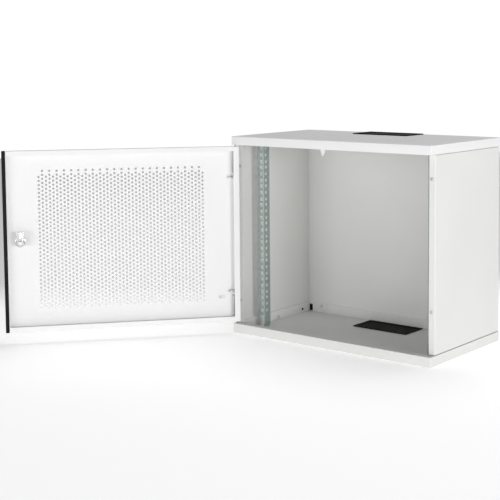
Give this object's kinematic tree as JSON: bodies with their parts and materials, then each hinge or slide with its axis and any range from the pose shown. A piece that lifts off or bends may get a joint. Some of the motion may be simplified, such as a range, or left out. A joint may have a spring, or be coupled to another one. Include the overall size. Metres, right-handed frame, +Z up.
{
  "type": "network cabinet",
  "caption": "Small wall or desk network cabinet in light grey sheet steel, with 19-inch rails, cable entries in roof and floor, and a hinged, lockable, perforated front door.",
  "frame": {"origin": "centre of the cabinet's underside, the door's space included in its depth", "axes": "+X to the cabinet's right seen from the front, +Y to its back, +Z up"},
  "size_m": [0.8801, 0.7062, 0.4673],
  "materials": {
    "body_paint": "light grey powder coat, fine grain, semi-matt",
    "door_paint": "light grey powder coat, fine grain, semi-matt",
    "rail_zinc": "zinc-plated sheet with a faint green-blue tint",
    "bracket_zinc": "zinc-plated sheet",
    "fastener_steel": "zinc-plated",
    "pin_steel": "zinc-plated rod",
    "spring_steel": "bright drawn wire",
    "lock_chrome": "bright nickel-chrome plating",
    "entry_plastic": "black moulded plastic",
    "trim_plastic": "black extruded plastic"
  },
  "bodies": {
    "cabinet": {"top_cover": "body_paint", "base_tray": "body_paint", "left_side_panel": "body_paint", "right_side_panel": "body_paint", "rear_panel": "body_paint", "left_rail": "rail_zinc", "right_rail": "rail_zinc", "door_stop_tab": "body_paint", "rail_bracket_lower_left": "bracket_zinc", "rail_bracket_lower_right": "bracket_zinc", "rail_bracket_upper_left": "bracket_zinc", "rail_bracket_upper_right": "bracket_zinc", "rail_screw_lower_left": "fastener_steel", "rail_screw_lower_right": "fastener_steel", "rail_screw_upper_left": "fastener_steel", "rail_screw_upper_right": "fastener_steel", "flange_screw_left_lower": "fastener_steel", "flange_screw_right_lower": "fastener_steel", "flange_screw_left_upper": "fastener_steel", "flange_screw_right_upper": "fastener_steel", "tray_screw_left": "fastener_steel", "tray_screw_right": "fastener_steel", "rear_screw_left": "fastener_steel", "rear_screw_right": "fastener_steel", "corner_plug_left": "entry_plastic", "corner_plug_right": "entry_plastic", "strip_button_left": "entry_plastic", "strip_button_right": "entry_plastic", "floor_entry_frame": "entry_plastic", "floor_entry_cover": "entry_plastic", "roof_entry_frame": "entry_plastic", "roof_entry_cover": "entry_plastic"},
    "door": {"door_panel": "door_paint", "door_edge_trim": "trim_plastic", "door_earth_tab": "bracket_zinc", "lock_housing": "lock_chrome", "lock_nut": "lock_chrome", "upper_pin_holder": "bracket_zinc", "lower_pin_holder": "bracket_zinc", "upper_pin_spring": "spring_steel", "lower_pin_spring": "spring_steel"},
    "lock": {"lock_core": "lock_chrome", "lock_cam": "lock_chrome", "cam_screw": "fastener_steel"},
    "upper_pin": {"upper_hinge_pin": "pin_steel"},
    "lower_pin": {"lower_hinge_pin": "pin_steel"}
  },
  "joints": [
    {"name": "door_hinge", "type": "hinge", "parent": "cabinet", "child": "door", "pos_m": [-0.2624, -0.1445, 0.2348], "axis": [0, 0, 1], "range_deg": [-49.7, 130.3]},
    {"name": "lock_turn", "type": "hinge", "parent": "door", "child": "lock", "pos_m": [-0.58701, -0.51877, 0.234], "axis": [0.7627, -0.6468, 0], "range_deg": [0, 90]},
    {"name": "upper_pin_slide", "type": "slide", "parent": "door", "child": "upper_pin", "axis": [0, 0, -1], "range_m": [0, 0.009], "stiffness_N_per_m": 350, "springref_m": -0.006, "deforming": ["upper_pin_spring"]},
    {"name": "lower_pin_slide", "type": "slide", "parent": "door", "child": "lower_pin", "axis": [0, 0, 1], "range_m": [0, 0.009], "stiffness_N_per_m": 350, "springref_m": -0.006, "deforming": ["lower_pin_spring"]}
  ]
}
